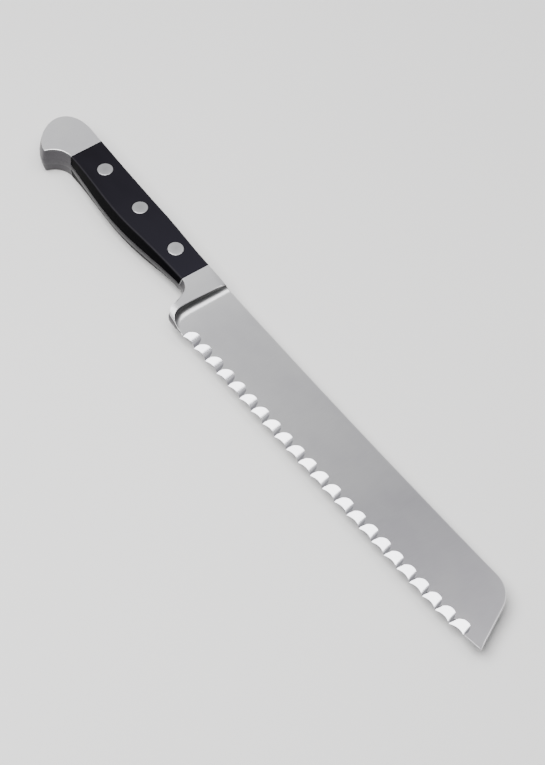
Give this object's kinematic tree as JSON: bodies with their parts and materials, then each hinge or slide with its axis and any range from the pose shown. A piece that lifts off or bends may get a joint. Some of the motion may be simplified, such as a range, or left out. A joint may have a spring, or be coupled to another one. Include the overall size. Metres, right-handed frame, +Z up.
{
  "type": "bread knife",
  "caption": "Forged bread knife with a wavy edge, thick bolster, full tang between black riveted scales and a hooked steel butt, lying on its side.",
  "frame": {"origin": "centre of the knife's bounding box in X and Y, at the height of the flat left side that the handle lies on", "axes": "+X along the blade towards the tip, -Y towards the cutting edge, +Y towards the spine, +Z up, out of the right-hand side of the blade"},
  "size_m": [0.3324, 0.0334, 0.013],
  "materials": {
    "forged_steel": "satin",
    "scale_polymer": "satin",
    "rivet_metal": "satin"
  },
  "bodies": {
    "root": {"forged_blank": "forged_steel", "scale_right": "scale_polymer", "scale_left": "scale_polymer", "rivet_post_rear": "rivet_metal", "rivet_post_middle": "rivet_metal", "rivet_post_front": "rivet_metal", "rivet_socket_rear": "rivet_metal", "rivet_socket_middle": "rivet_metal", "rivet_socket_front": "rivet_metal"}
  },
  "joints": []
}
